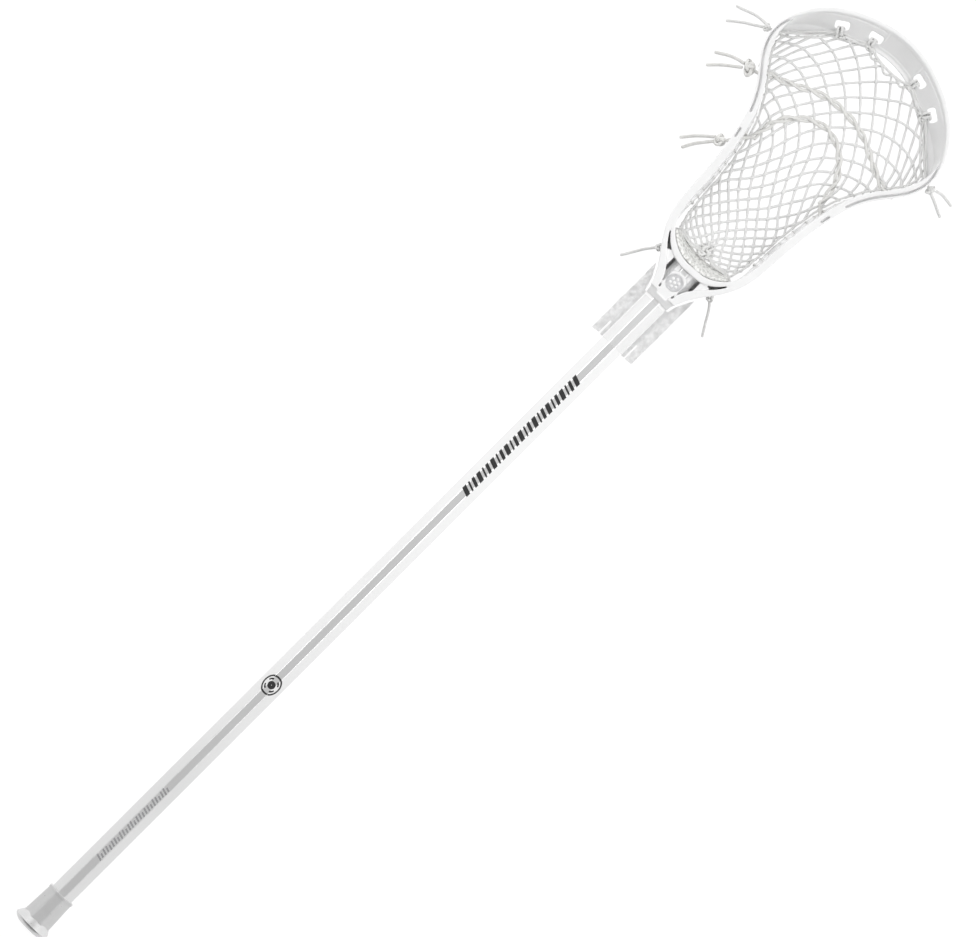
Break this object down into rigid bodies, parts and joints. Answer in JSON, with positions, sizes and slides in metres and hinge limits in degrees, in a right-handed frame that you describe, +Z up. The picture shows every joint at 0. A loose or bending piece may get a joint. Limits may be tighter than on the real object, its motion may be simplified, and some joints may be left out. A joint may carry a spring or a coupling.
{
  "type": "lacrosse stick",
  "caption": "Lacrosse stick: octagonal metal shaft with a flared rubber butt cap, and an open moulded head strung with a diamond mesh pocket, shooting laces and a foam ball stop.",
  "frame": {"origin": "under the middle of the stick's bounding box, loose lace ends left out, on the surface that it lies on", "axes": "+X from the butt to the scoop, +Z up out of the face of the head, +Y to the left seen from the butt"},
  "size_m": [1.0699, 0.2532, 0.0403],
  "materials": {
    "shaft_metal": "satin silver-white",
    "cap_rubber": "matt white rubber",
    "head_plastic": "semi-gloss white nylon",
    "badge_plastic": "satin pale grey",
    "screw_steel": "zinc plated",
    "stop_foam": "open-cell foam",
    "pocket_mesh": "knotless polyester mesh",
    "string_cord": "braided nylon cord",
    "shooting_lace": "woven lace",
    "sleeve_film": "crinkled clear film"
  },
  "bodies": {
    "stick": {"shaft": "shaft_metal", "head_frame": "head_plastic", "throat_badge": "badge_plastic", "head_screw": "screw_steel", "ball_stop_pad": "stop_foam", "mesh_pocket": "pocket_mesh", "top_string": "string_cord", "left_sidewall_string": "string_cord", "right_sidewall_string": "string_cord", "bottom_string": "string_cord", "straight_shooting_string": "shooting_lace", "u_shooting_string": "shooting_lace", "straight_shooter_knot": "shooting_lace", "u_shooter_knot": "shooting_lace", "left_top_string_knot": "string_cord", "right_top_string_knot": "string_cord", "neck_sleeve": "sleeve_film", "bottom_string_tail_left": "string_cord", "bottom_string_tail_right": "string_cord", "u_shooter_tail_a": "shooting_lace", "u_shooter_tail_b": "shooting_lace", "straight_shooter_tail_a": "shooting_lace", "straight_shooter_tail_b": "shooting_lace", "top_string_tail_left_a": "string_cord", "top_string_tail_left_b": "string_cord", "top_string_tail_right_a": "string_cord", "top_string_tail_right_b": "string_cord"},
    "cap": {"end_cap": "cap_rubber"}
  },
  "joints": [
    {"name": "end_cap_slide", "type": "slide", "parent": "stick", "child": "cap", "axis": [-1, 0, 0], "range_m": [0, 0.045]}
  ]
}
